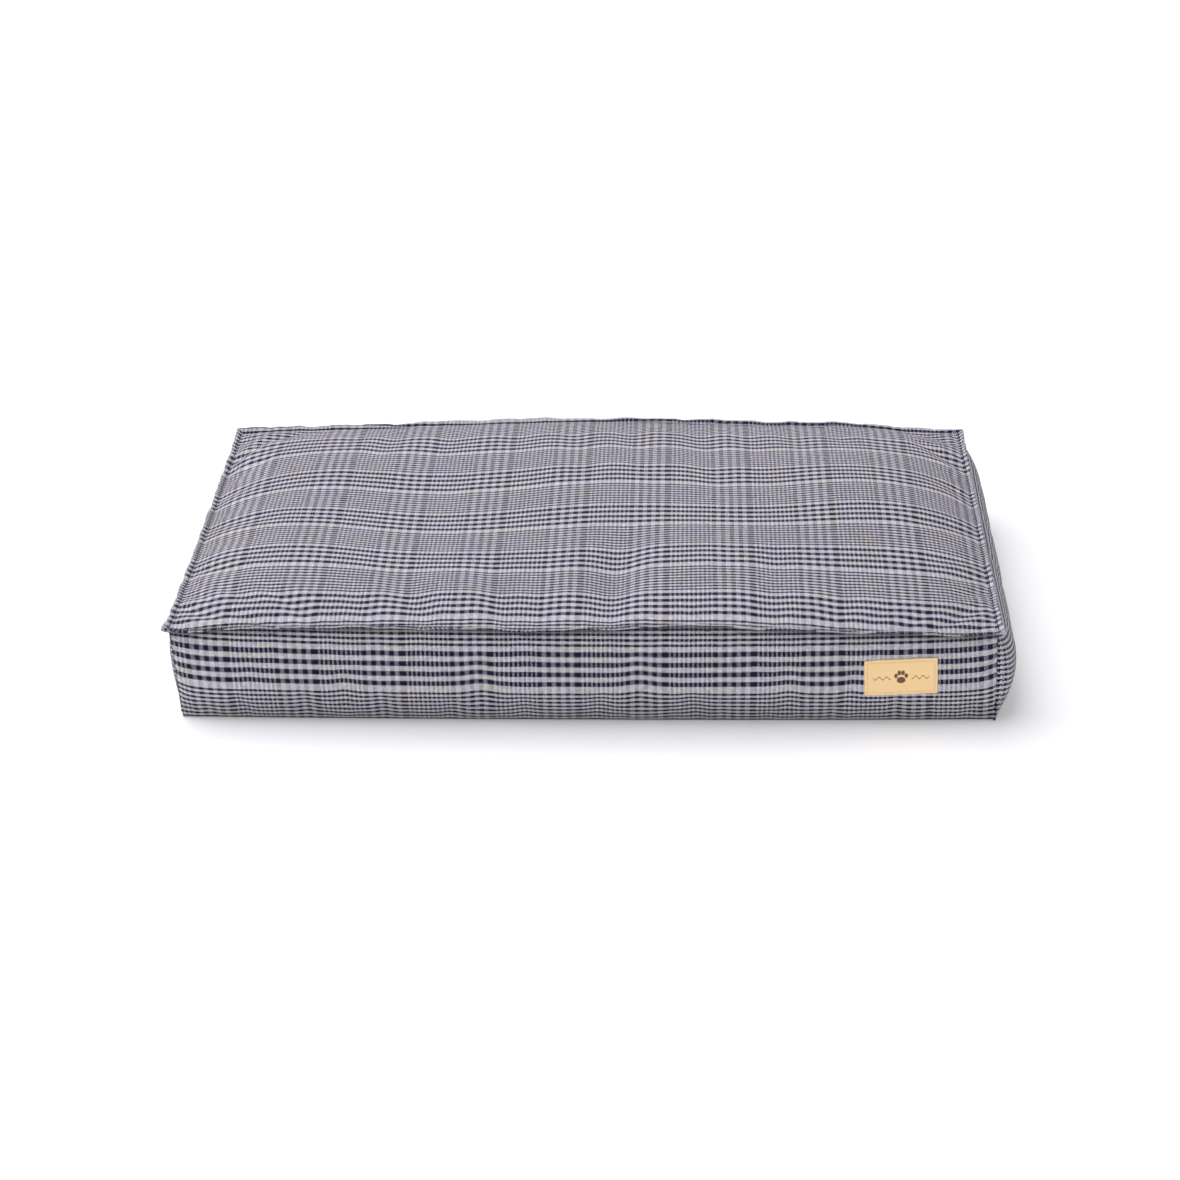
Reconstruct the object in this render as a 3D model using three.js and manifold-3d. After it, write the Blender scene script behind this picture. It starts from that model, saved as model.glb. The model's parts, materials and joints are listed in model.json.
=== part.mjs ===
// A rectangular pet mattress: a boxed cloth cover with a raised flange seam round its top edge,
// a zip across the back wall, and a loose inner pad of fibre in its own case.
// Millimetres, +Z up, the front towards -Y, the origin at the centre of the underside.
import * as THREE from "three";
import { mergeVertices } from "three/addons/utils/BufferGeometryUtils.js";
import Module from "manifold-3d";

// Cover, measured along the seams at the corners
const seamLength = 788;
const seamDepth = 478;
const seamHeight = 95;
const crownRise = 21; // how far the middle of the top stands above its corners
const sideSwell = 16; // how far each wall swells past its seams
const cornerFall = 50; // length of wall over which that swell dies away to a corner
const footInset = 4; // how far the lower seam lies inside the upper one
const clothThickness = 1.5;
const seamGap = 0.3; // clearance between pieces that are sewn or pressed together
const flatHalfHeight = 20; // half the height of wall that stays upright at its middle

// Flange seam
const flangeWidth = 7;
const flangeTilt = THREE.MathUtils.degToRad(30);
const threadWidth = 0.8;
const threadThickness = 0.5;

// Label on the front wall
const labelWidth = 70;
const labelHeight = 38;
const labelThickness = 0.8;
const labelEdgeRoom = 6; // from the end of the upright part of the wall
const labelRise = 9; // above the middle of the wall
const labelStitchInset = 3;

// Zip in the back wall
const zipMouthHalf = 7;
const tapeTail = 15; // tape sewn in past each end of the zip's mouth
const tapeMargin = 4; // from the tape's end to where the wall starts to curve
const tapeWidth = 14;
const tapeThickness = 0.6;
const chainGap = 1.2; // between the two coil rows, where the slider's wedge runs
const coilWidth = 2.6;
const coilThickness = 2;
const stopLength = 3.5;
const stopEndRoom = 1;

// Slider and pull
const sliderLength = 12;
const sliderPlate = 1;
const sliderFlange = 1;
const wedgeLength = 5;
const wedgeThickness = 0.6;
const sliderStopGap = 0.5;
const bailWidth = 2.4;
const bailThickness = 1;
const bailLegInset = 1.5;
const pullLength = 32;
const pullHalfWidth = 3.6;
const pullThickness = 1.2;
const pullClearance = 0.4;
const pullEyeRadius = 1.5;

// Inner pad
const caseThickness = 0.8;
const padSliderRoom = 0.8; // between the slider's inner plate and the pad
const crownRoom = 1.5; // between one crowned layer and the next, where the pad settles
const fillClearance = 3; // loose fibre, all round inside its case

// Sizes that follow from those
const foldDrop =
  clothThickness / 2 +
  (clothThickness / 2 + seamGap) / Math.cos(flangeTilt) +
  (clothThickness / 2) * Math.tan(flangeTilt);
const foldHeight = seamHeight - foldDrop; // where a wall turns out into the flange's lower ply
const wallMiddle = foldHeight / 2;
const longSide = { run: seamLength / 2, reach: seamDepth / 2 };
const shortSide = { run: seamDepth / 2, reach: seamLength / 2 };
const zipMouthLength = 2 * (longSide.run - cornerFall - tapeMargin - tapeTail);
const tapeOut = sideSwell - clothThickness - seamGap; // the tape's outer face, past the seam line
const coilOut = tapeOut + seamGap; // the coil's inner face
const coilLength = zipMouthLength - 2 * (stopEndRoom + stopLength + seamGap);
const rowOuter = chainGap / 2 + coilWidth;
const sliderHalfHeight = rowOuter + seamGap + sliderFlange;
const sliderRest = -coilLength / 2 + sliderLength / 2 + sliderStopGap;
const sliderFace = coilOut + coilThickness + seamGap + sliderPlate;
const padClearance =
  clothThickness + seamGap + tapeThickness + seamGap + sliderPlate + padSliderRoom;
const padBottom = clothThickness + seamGap;
const fillBottom = padBottom + caseThickness + seamGap;
const caseTopDrop = clothThickness / 2 + crownRoom + caseThickness / 2;
const caseWallTop = seamHeight - caseTopDrop - caseThickness / 2 - seamGap;

const wasm = await Module();
wasm.setup();

const plaidCloth = { color: 0x7b7a80, roughness: 0.95, metalness: 0 };
const baseCloth = { color: 0x33343b, roughness: 0.9, metalness: 0 };
const navyThread = { color: 0x23253a, roughness: 0.8, metalness: 0 };
const labelCloth = { color: 0xe3c494, roughness: 0.85, metalness: 0 };
const labelThreadFinish = { color: 0xc9a874, roughness: 0.8, metalness: 0 };
const zipTapeCloth = { color: 0x2a2c38, roughness: 0.85, metalness: 0 };
const coilPlastic = { color: 0x23242e, roughness: 0.45, metalness: 0 };
const zipMetal = { color: 0x9a9ba0, roughness: 0.35, metalness: 1 };
const caseCloth = { color: 0xe9e7e1, roughness: 0.9, metalness: 0 };
const fibre = { color: 0xf6f5f2, roughness: 1, metalness: 0 };

function namedMesh(name, geometry, finish) {
  const mesh = new THREE.Mesh(geometry, new THREE.MeshStandardMaterial(finish));
  mesh.name = name;
  return mesh;
}

// A box divided at the given stations, with each of its surface points moved by place(x, y, z).
function shapedBox(xs, ys, zs, place) {
  const box = new THREE.BoxGeometry(1, 1, 1, xs.length - 1, ys.length - 1, zs.length - 1);
  const points = box.attributes.position;
  const station = (list, share) => list[Math.round((share + 0.5) * (list.length - 1))];
  for (let i = 0; i < points.count; i += 1) {
    const x = station(xs, points.getX(i));
    const y = station(ys, points.getY(i));
    const z = station(zs, points.getZ(i));
    points.setXYZ(i, ...place(x, y, z));
  }
  box.computeVertexNormals();
  return box;
}

// Stations across the top, closer together towards the seams.
function crownStations(half, steps, edge) {
  const list = [];
  for (let i = -steps; i <= steps; i += 1) {
    list.push(half * Math.sin((i / steps) * (Math.PI / 2)));
  }
  list[0] = -edge;
  list[list.length - 1] = edge;
  return list;
}

// Height of the middle of the top cloth: crowned between the seams, turned up outside them.
function topHeight(x, y) {
  const along = Math.min(1, Math.abs(x) / longSide.run);
  const across = Math.min(1, Math.abs(y) / longSide.reach);
  const past = Math.max(Math.abs(x) - longSide.run, Math.abs(y) - longSide.reach, 0);
  const crown = crownRise * (1 - along ** 4) * (1 - across ** 4);
  return seamHeight + crown + past * Math.tan(flangeTilt);
}

function topPanel() {
  const lip = flangeWidth * Math.cos(flangeTilt);
  const xs = crownStations(longSide.run, 7, longSide.run);
  const ys = crownStations(longSide.reach, 5, longSide.reach);
  for (const out of [lip / 2, lip]) {
    xs.unshift(-longSide.run - out);
    xs.push(longSide.run + out);
    ys.unshift(-longSide.reach - out);
    ys.push(longSide.reach + out);
  }
  const faces = [-clothThickness / 2, clothThickness / 2];
  const sheet = shapedBox(xs, ys, faces, (x, y, face) => [x, y, topHeight(x, y) + face]);
  return namedMesh("top_panel", sheet, plaidCloth);
}

// How far a wall's outer face stands past the seam line, at a height and a fullness of 0 to 1.
function wallOut(z, fullness) {
  const pastFlat = Math.max(0, Math.abs(z - wallMiddle) - flatHalfHeight);
  const share = Math.min(1, pastFlat / (wallMiddle - flatHalfHeight));
  const footPull = z < wallMiddle ? footInset * share : 0;
  return sideSwell * fullness * Math.cos((share * Math.PI) / 2) - footPull;
}

// Full along the wall, and falling to nothing at its corners.
function wallFullness(along, run) {
  const past = Math.max(0, Math.abs(along) - (run - cornerFall));
  return Math.cos((Math.min(1, past / cornerFall) * Math.PI) / 2);
}

// Where a wall is divided between two places along it: four steps down to each corner.
function wallStations(from, to, run) {
  const falls = [0, 0.25, 0.5, 0.75].map((share) => run - cornerFall + cornerFall * share);
  const list = [...falls, ...falls.map((x) => -x)].sort((a, b) => a - b);
  return [from, ...list.filter((x) => x > from + seamGap && x < to - seamGap), to];
}

// Heights at which a wall is divided: the ends of its upright part, and halfway on from each.
function wallLevels(bottom, top) {
  const low = wallMiddle - flatHalfHeight;
  const high = wallMiddle + flatHalfHeight;
  const list = [low / 2, low, high, (high + foldHeight) / 2];
  const inside = list.filter((z) => z > bottom + seamGap && z < top - seamGap);
  return [bottom, ...inside, top];
}

// The middle line of a wall's cloth as points [out, z], with the flange ply if it has one.
function wallLine(spec, fullness) {
  const middleOut = (z) => wallOut(z, fullness) - spec.inset - spec.thickness / 2;
  const line = wallLevels(spec.bottom, spec.top).map((z) => [middleOut(z), z]);
  if (spec.flange) {
    const [out, z] = line[line.length - 1];
    const tipOut = out + flangeWidth * Math.cos(flangeTilt);
    line.push([tipOut, z + flangeWidth * Math.sin(flangeTilt)]);
  }
  return line;
}

// The way out of the cloth at one point of that line, long enough to keep its thickness at a fold.
function clothNormal(line, index) {
  const here = line[index];
  const before = line[Math.max(0, index - 1)];
  const after = line[Math.min(line.length - 1, index + 1)];
  const first = new THREE.Vector2(here[0] - before[0], here[1] - before[1]);
  const second = new THREE.Vector2(after[0] - here[0], after[1] - here[1]);
  if (index === 0) first.copy(second);
  if (index === line.length - 1) second.copy(first);
  first.normalize();
  second.normalize();
  const middle = first.clone().add(second).normalize();
  const stretch = 1 / middle.dot(first);
  return [middle.y * stretch, -middle.x * stretch];
}

// One wall of cloth in a frame where the wall runs along X and faces -Y.
// Its ends are mitred where they reach a corner.
function wall(name, side, spec, finish) {
  const { from = -side.run, to = side.run } = spec;
  const xs = wallStations(from, to, side.run);
  const levels = wallLine(spec, 1).map((_, i) => i);
  const sheet = shapedBox(xs, [1, -1], levels, (along, face, level) => {
    const line = wallLine(spec, wallFullness(along, side.run));
    const normal = clothNormal(line, level);
    const half = (face * spec.thickness) / 2;
    const out = line[level][0] + normal[0] * half;
    const z = line[level][1] + normal[1] * half;
    const atCorner = Math.abs(along) === side.run;
    const x = atCorner ? Math.sign(along) * (side.run + out - seamGap) : along;
    return [x, -side.reach - out, Math.max(z, spec.bottom)];
  });
  return namedMesh(name, sheet, finish);
}

const coverWall = {
  inset: 0,
  thickness: clothThickness,
  bottom: 0,
  top: foldHeight,
  flange: true,
};

const caseWall = {
  inset: padClearance,
  thickness: caseThickness,
  bottom: fillBottom,
  top: caseWallTop,
  flange: false,
};

function basePanel() {
  const edge = footInset + clothThickness + seamGap;
  const length = seamLength - 2 * edge;
  const sheet = new THREE.BoxGeometry(length, seamDepth - 2 * edge, clothThickness);
  const mesh = namedMesh("base_panel", sheet, baseCloth);
  mesh.position.z = clothThickness / 2;
  return mesh;
}

function rectangle(path, halfLength, halfHeight) {
  path.moveTo(-halfLength, -halfHeight);
  path.lineTo(halfLength, -halfHeight);
  path.lineTo(halfLength, halfHeight);
  path.lineTo(-halfLength, halfHeight);
  path.closePath();
  return path;
}

// A flat rectangular ring of thread, about the origin and standing up from z = 0.
function threadRing(halfLength, halfHeight) {
  const ring = rectangle(new THREE.Shape(), halfLength + threadWidth / 2, halfHeight + threadWidth / 2);
  const inside = [halfLength - threadWidth / 2, halfHeight - threadWidth / 2];
  ring.holes.push(rectangle(new THREE.Path(), ...inside));
  return new THREE.ExtrudeGeometry(ring, { depth: threadThickness, bevelEnabled: false });
}

function flangeThread() {
  const out = (flangeWidth * Math.cos(flangeTilt)) / 2;
  const ring = threadRing(longSide.run + out, longSide.reach + out);
  const mesh = namedMesh("flange_thread", ring, navyThread);
  const outerEdge = out + threadWidth / 2;
  const clothTop = seamHeight + outerEdge * Math.tan(flangeTilt) + clothThickness / 2;
  mesh.position.z = clothTop + seamGap;
  return mesh;
}

// A box on a wall whose inner face stands `out` past the seam line.
function wallBox(side, size, x, out, z) {
  const box = new THREE.BoxGeometry(...size);
  box.translate(x, -side.reach - out - size[1] / 2, z);
  return box;
}

function label() {
  const x = longSide.run - cornerFall - labelEdgeRoom - labelWidth / 2;
  const z = wallMiddle + labelRise;
  const size = [labelWidth, labelThickness, labelHeight];
  const patchOut = sideSwell + seamGap;
  const patch = wallBox(longSide, size, x, patchOut, z);
  const halfLength = labelWidth / 2 - labelStitchInset;
  const thread = threadRing(halfLength, labelHeight / 2 - labelStitchInset);
  const threadMesh = namedMesh("label_thread", thread, labelThreadFinish);
  threadMesh.rotation.x = Math.PI / 2;
  threadMesh.position.set(x, -longSide.reach - patchOut - labelThickness - seamGap, z);
  const group = new THREE.Group();
  group.add(namedMesh("label_patch", patch, labelCloth), threadMesh);
  return group;
}

function solidOf(geometry) {
  geometry.deleteAttribute("normal");
  geometry.deleteAttribute("uv");
  const merged = mergeVertices(geometry);
  const triVerts = merged.index.array;
  const vertProperties = merged.attributes.position.array;
  return new wasm.Manifold(new wasm.Mesh({ numProp: 3, vertProperties, triVerts }));
}

function geometryOf(solid) {
  const { vertProperties, triVerts } = solid.getMesh();
  const geometry = new THREE.BufferGeometry();
  geometry.setAttribute("position", new THREE.BufferAttribute(vertProperties, 3));
  geometry.setIndex(new THREE.BufferAttribute(triVerts, 1));
  geometry.computeVertexNormals();
  return geometry;
}

// The bail is an arch along X over the slider's outer plate.
function bail() {
  const halfSpan = sliderLength / 2 - bailLegInset;
  const clear = pullThickness + 2 * pullClearance;
  const arch = new THREE.Shape();
  arch.moveTo(-halfSpan, -sliderPlate / 2);
  arch.lineTo(halfSpan, -sliderPlate / 2);
  arch.lineTo(halfSpan, clear);
  arch.absarc(halfSpan - bailThickness, clear, bailThickness, 0, Math.PI / 2, false);
  arch.lineTo(bailThickness - halfSpan, clear + bailThickness);
  arch.absarc(bailThickness - halfSpan, clear, bailThickness, Math.PI / 2, Math.PI, false);
  arch.closePath();
  const window = new THREE.Path();
  window.moveTo(bailThickness - halfSpan, 0);
  window.lineTo(bailThickness - halfSpan, clear);
  window.lineTo(halfSpan - bailThickness, clear);
  window.lineTo(halfSpan - bailThickness, 0);
  window.closePath();
  arch.holes.push(window);
  const settings = { depth: bailWidth, bevelEnabled: false, curveSegments: 4 };
  const geometry = new THREE.ExtrudeGeometry(arch, settings);
  geometry.translate(0, 0, -bailWidth / 2);
  geometry.rotateX(Math.PI);
  geometry.translate(0, -longSide.reach - sliderFace, wallMiddle);
  return geometry;
}

// Two plates joined by a wedge between the coil rows, with flanges round the rows, and the bail.
function sliderBody() {
  const height = 2 * sliderHalfHeight;
  const outerInner = sliderFace - sliderPlate;
  const innerInner = tapeOut - tapeThickness - seamGap - sliderPlate;
  const plateSize = [sliderLength, sliderPlate, height];
  const flangeSize = [sliderLength, coilThickness + seamGap + sliderPlate, sliderFlange];
  const flangeUp = sliderHalfHeight - sliderFlange / 2;
  const wedgeSize = [wedgeLength, sliderFace - innerInner, wedgeThickness];
  const parts = [
    wallBox(longSide, plateSize, 0, outerInner, wallMiddle),
    wallBox(longSide, plateSize, 0, innerInner, wallMiddle),
    wallBox(longSide, flangeSize, 0, coilOut, wallMiddle + flangeUp),
    wallBox(longSide, flangeSize, 0, coilOut, wallMiddle - flangeUp),
    wallBox(longSide, wedgeSize, 0, innerInner, wallMiddle),
    bail(),
  ];
  const body = parts.map(solidOf).reduce((whole, piece) => whole.add(piece));
  return namedMesh("zip_slider_body", geometryOf(body), zipMetal);
}

// A flat tab whose end bar lies under the bail; it turns about that bar's middle line, along Z.
function pull() {
  const bar = pullThickness / 2;
  const windowHalf = bailWidth / 2 + pullClearance;
  const windowEnd = sliderLength / 2 + bailThickness;
  const tipRadius = pullHalfWidth;
  const tab = new THREE.Shape();
  tab.moveTo(-bar, -pullHalfWidth);
  tab.lineTo(pullLength - tipRadius, -pullHalfWidth);
  tab.absarc(pullLength - tipRadius, 0, tipRadius, -Math.PI / 2, Math.PI / 2, false);
  tab.lineTo(-bar, pullHalfWidth);
  tab.closePath();
  const window = new THREE.Path();
  window.moveTo(bar, -windowHalf);
  window.lineTo(bar, windowHalf);
  window.lineTo(windowEnd, windowHalf);
  window.lineTo(windowEnd, -windowHalf);
  window.closePath();
  const eye = new THREE.Path();
  eye.absarc(pullLength - tipRadius, 0, pullEyeRadius, 0, 2 * Math.PI, true);
  tab.holes.push(window, eye);
  const settings = { depth: pullThickness, bevelEnabled: false, curveSegments: 8 };
  const geometry = new THREE.ExtrudeGeometry(tab, settings);
  geometry.translate(0, 0, -bar);
  geometry.rotateX(Math.PI / 2);
  const mesh = namedMesh("zip_pull", geometry, zipMetal);
  mesh.position.set(0, -longSide.reach - sliderFace - pullClearance - bar, wallMiddle);
  return mesh;
}

// Tapes, coil rows, stops, slider and pull, along X on a wall that faces -Y.
function zip() {
  const group = new THREE.Group();
  const stopX = coilLength / 2 + seamGap + stopLength / 2;
  for (const [row, up] of [["upper", 1], ["lower", -1]]) {
    const tapeSize = [zipMouthLength + 2 * tapeTail, tapeThickness, tapeWidth];
    const tapeZ = wallMiddle + up * (chainGap + tapeWidth) / 2;
    const tape = wallBox(longSide, tapeSize, 0, tapeOut - tapeThickness, tapeZ);
    const coilZ = wallMiddle + up * (chainGap + coilWidth) / 2;
    const coil = wallBox(longSide, [coilLength, coilThickness, coilWidth], 0, coilOut, coilZ);
    const stop = wallBox(longSide, [stopLength, coilThickness, coilWidth], -stopX, coilOut, coilZ);
    group.add(namedMesh("zip_tape_" + row, tape, zipTapeCloth));
    group.add(namedMesh("zip_coil_" + row, coil, coilPlastic));
    group.add(namedMesh("zip_stop_" + row, stop, zipMetal));
  }
  const boxSize = [stopLength, coilThickness, 2 * rowOuter];
  const endBox = wallBox(longSide, boxSize, stopX, coilOut, wallMiddle);
  group.add(namedMesh("zip_bottom_stop", endBox, zipMetal));
  const slider = new THREE.Group();
  slider.position.x = sliderRest;
  slider.add(sliderBody(), pull());
  group.add(slider);
  return group;
}

// Two strips with the zip between them, and a full-height piece at each end of the zip.
function backWall() {
  const group = new THREE.Group();
  const end = zipMouthLength / 2;
  const strip = { ...coverWall, from: seamGap - end, to: end - seamGap };
  const upper = { ...strip, bottom: wallMiddle + zipMouthHalf };
  const lower = { ...strip, top: wallMiddle - zipMouthHalf, flange: false };
  group.add(wall("back_strip_upper", longSide, upper, plaidCloth));
  group.add(wall("back_strip_lower", longSide, lower, plaidCloth));
  group.add(wall("back_end_left", longSide, { ...coverWall, from: end }, plaidCloth));
  group.add(wall("back_end_right", longSide, { ...coverWall, to: -end }, plaidCloth));
  group.add(zip());
  group.add(wall("pad_case_back", longSide, caseWall, caseCloth));
  return group;
}

function casePanels() {
  const group = new THREE.Group();
  const xs = crownStations(longSide.run, 7, longSide.run - padClearance);
  const ys = crownStations(longSide.reach, 5, longSide.reach - padClearance);
  const faces = [-caseThickness / 2, caseThickness / 2];
  const place = (x, y, face) => [x, y, topHeight(x, y) - caseTopDrop + face];
  group.add(namedMesh("pad_case_top", shapedBox(xs, ys, faces, place), caseCloth));
  const edge = footInset + padClearance;
  const size = [seamLength - 2 * edge, seamDepth - 2 * edge, caseThickness];
  const base = namedMesh("pad_case_base", new THREE.BoxGeometry(...size), caseCloth);
  base.position.z = padBottom + caseThickness / 2;
  group.add(base);
  return group;
}

function fillStations(run) {
  const list = [...wallStations(-run, run, run), -run / 2, 0, run / 2];
  return list.sort((a, b) => a - b);
}

// The fibre follows the inside of its case: crowned above, swollen at the sides.
function fibreFill() {
  const inset = padClearance + caseThickness + fillClearance;
  const xs = fillStations(longSide.run);
  const ys = fillStations(shortSide.run);
  const topDrop = caseTopDrop + caseThickness / 2 + crownRoom;
  const height = seamHeight - topDrop - fillBottom;
  const levels = wallLevels(fillBottom, seamHeight - topDrop);
  const shares = levels.map((z) => (z - fillBottom) / height);
  const fill = shapedBox(xs, ys, shares, (x, y, share) => {
    const z = fillBottom + share * (topHeight(x, y) - topDrop - fillBottom);
    const alongOut = wallOut(z, wallFullness(y, shortSide.run)) - inset;
    const acrossOut = wallOut(z, wallFullness(x, longSide.run)) - inset;
    const endX = Math.sign(x) * (longSide.run + alongOut);
    const endY = Math.sign(y) * (longSide.reach + acrossOut);
    const atEnd = Math.abs(x) === longSide.run;
    const atSide = Math.abs(y) === longSide.reach;
    return [atEnd ? endX : x, atSide ? endY : y, z];
  });
  return namedMesh("fibre_fill", fill, fibre);
}

function turned(piece, quarterTurns) {
  const group = new THREE.Group();
  group.add(piece);
  group.rotation.z = (quarterTurns * Math.PI) / 2;
  return group;
}

const bed = new THREE.Group();
bed.add(topPanel(), basePanel(), flangeThread(), label(), casePanels(), fibreFill());
bed.add(wall("front_band", longSide, coverWall, plaidCloth));
bed.add(wall("pad_case_front", longSide, caseWall, caseCloth));
bed.add(turned(wall("right_band", shortSide, coverWall, plaidCloth), 1));
bed.add(turned(wall("pad_case_right", shortSide, caseWall, caseCloth), 1));
bed.add(turned(wall("left_band", shortSide, coverWall, plaidCloth), -1));
bed.add(turned(wall("pad_case_left", shortSide, caseWall, caseCloth), -1));
bed.add(turned(backWall(), 2));

export default bed;
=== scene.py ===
import json
import math

import bmesh
import bpy
import numpy as np
from mathutils import Matrix, Quaternion, Vector
from mathutils.bvhtree import BVHTree

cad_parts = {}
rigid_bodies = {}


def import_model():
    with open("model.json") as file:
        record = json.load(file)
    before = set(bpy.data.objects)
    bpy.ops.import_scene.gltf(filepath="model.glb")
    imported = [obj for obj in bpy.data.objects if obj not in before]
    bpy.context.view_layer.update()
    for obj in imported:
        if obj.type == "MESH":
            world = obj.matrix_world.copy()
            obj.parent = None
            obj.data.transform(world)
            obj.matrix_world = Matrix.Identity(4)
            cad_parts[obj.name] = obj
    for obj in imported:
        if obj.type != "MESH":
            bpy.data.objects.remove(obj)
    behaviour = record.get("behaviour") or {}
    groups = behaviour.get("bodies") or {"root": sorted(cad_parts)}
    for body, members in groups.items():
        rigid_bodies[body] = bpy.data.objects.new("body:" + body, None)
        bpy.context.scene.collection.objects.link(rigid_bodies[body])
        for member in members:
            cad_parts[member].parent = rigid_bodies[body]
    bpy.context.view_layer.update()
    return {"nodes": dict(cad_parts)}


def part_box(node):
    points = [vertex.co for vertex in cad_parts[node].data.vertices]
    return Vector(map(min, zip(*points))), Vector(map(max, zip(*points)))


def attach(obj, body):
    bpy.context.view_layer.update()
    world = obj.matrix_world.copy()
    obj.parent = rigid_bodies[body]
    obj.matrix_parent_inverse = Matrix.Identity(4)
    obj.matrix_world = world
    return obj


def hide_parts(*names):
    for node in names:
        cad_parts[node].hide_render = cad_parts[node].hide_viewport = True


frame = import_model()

scene = bpy.context.scene


# where the camera stands and what it looks at
cameraSet = {
    "azimuth": 2.12,  # degrees, from -Y towards +X
    "elevation": 26.3,
    "roll": -0.81,
    "distance": 3.084,
    "target": Vector((-0.003, 0.0, 0.0225)),
    "lens": 90.3,
    "sensor": 36,
    "farthest": 50,
}


def added(name, data):
    # a new object in the scene
    thing = bpy.data.objects.new(name, data)
    scene.collection.objects.link(thing)
    return thing


data = bpy.data.cameras.new("camera")
data.lens = cameraSet["lens"]
data.sensor_width = cameraSet["sensor"]
data.clip_end = cameraSet["farthest"]
camera = scene.camera = added("camera", data)
turn, lift = math.radians(cameraSet["azimuth"]), math.radians(cameraSet["elevation"])
level = math.cos(lift)
back = Vector((math.sin(turn) * level, -math.cos(turn) * level, math.sin(lift)))
camera.location = cameraSet["target"] + back * cameraSet["distance"]
camera.rotation_mode = "QUATERNION"
look = (-back).to_track_quat("-Z", "Y")
camera.rotation_quaternion = look @ Quaternion((0, 0, 1), math.radians(cameraSet["roll"]))


def overloaded(operation, reflected=False):
    def run(self, other):
        return self.math(operation, *((other, self) if reflected else (self, other)))
    return run


def applied(operation):
    return lambda self: self.math(operation, self)


class Wire:
    # an output socket that takes Python's operators

    def __init__(self, shader, socket):
        self.shader = shader
        self.socket = socket

    def math(self, operation, *values):
        return self.shader.node("ShaderNodeMath", {"operation": operation}, values)

    def clamped(self):
        return self.shader.node("ShaderNodeClamp", {}, [self])

    __add__ = __radd__ = overloaded("ADD")
    __sub__ = overloaded("SUBTRACT")
    __rsub__ = overloaded("SUBTRACT", reflected=True)
    __mul__ = __rmul__ = overloaded("MULTIPLY")
    __truediv__ = overloaded("DIVIDE")
    __mod__ = overloaded("FLOORED_MODULO")
    __pow__ = overloaded("POWER")
    __lt__ = overloaded("LESS_THAN")
    __gt__ = overloaded("GREATER_THAN")
    __abs__ = applied("ABSOLUTE")
    floor = applied("FLOOR")
    cosine = applied("COSINE")
    exponent = applied("EXPONENT")


class Nodes:
    # a node tree that is filled one call at a time

    def node(self, kind, settings=None, inputs=(), output=0):
        made = self.tree.nodes.new(kind)
        for key, value in (settings or {}).items():
            if key == "stops":
                self.setStops(made.color_ramp, value)
            else:
                setattr(made, key, value)
        pairs = inputs.items() if isinstance(inputs, dict) else enumerate(inputs)
        for key, value in pairs:
            self.put(made.inputs[key], value)
        return Wire(self, made.outputs[output])

    def setStops(self, ramp, stops):
        while len(ramp.elements) < len(stops):
            ramp.elements.new(0.5)
        for element, (place, colour) in zip(ramp.elements, stops):
            element.position = place
            element.color = colour

    def put(self, socket, value):
        if isinstance(value, Wire):
            self.tree.links.new(value.socket, socket)
        else:
            socket.default_value = value


class Shader(Nodes):
    # one material with a Principled shader

    def __init__(self, name, **constants):
        self.material = bpy.data.materials.new(name)
        self.material.use_nodes = True
        self.tree = self.material.node_tree
        self.tree.nodes.clear()
        out = self.tree.nodes.new("ShaderNodeOutputMaterial")
        self.surface = self.tree.nodes.new("ShaderNodeBsdfPrincipled")
        self.tree.links.new(self.surface.outputs[0], out.inputs["Surface"])
        self.set(**constants)

    def set(self, **values):
        for key, value in values.items():
            self.put(self.surface.inputs[key.replace("_", " ")], value)

    def mix(self, share, first, second, blend="MIX"):
        settings = {"data_type": "RGBA", "blend_type": blend}
        return self.node("ShaderNodeMix", settings, {0: share, 6: first, 7: second}, output=2)

    def grey(self, value):
        return self.node("ShaderNodeCombineColor", {}, [value, value, value])

    def uv(self, name):
        wire = self.node("ShaderNodeUVMap", {"uv_map": name})
        return [self.node("ShaderNodeSeparateXYZ", {}, [wire], output=axis) for axis in range(2)]

    def place(self):
        return self.node("ShaderNodeTexCoord", output=3)

    def axes(self):
        place = self.place()
        return [self.node("ShaderNodeSeparateXYZ", {}, [place], output=axis) for axis in range(3)]

    def noise(self, scale, detail=2.0, stretch=None):
        vector = self.place()
        if stretch:
            vector = self.node("ShaderNodeMapping", {}, {"Vector": vector, "Scale": stretch})
        inputs = {"Vector": vector, "Scale": scale, "Detail": detail}
        return self.node("ShaderNodeTexNoise", {}, inputs)

    def bump(self, height, strength, distance):
        inputs = {"Height": height, "Strength": strength, "Distance": distance}
        return self.node("ShaderNodeBump", {}, inputs)


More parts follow.
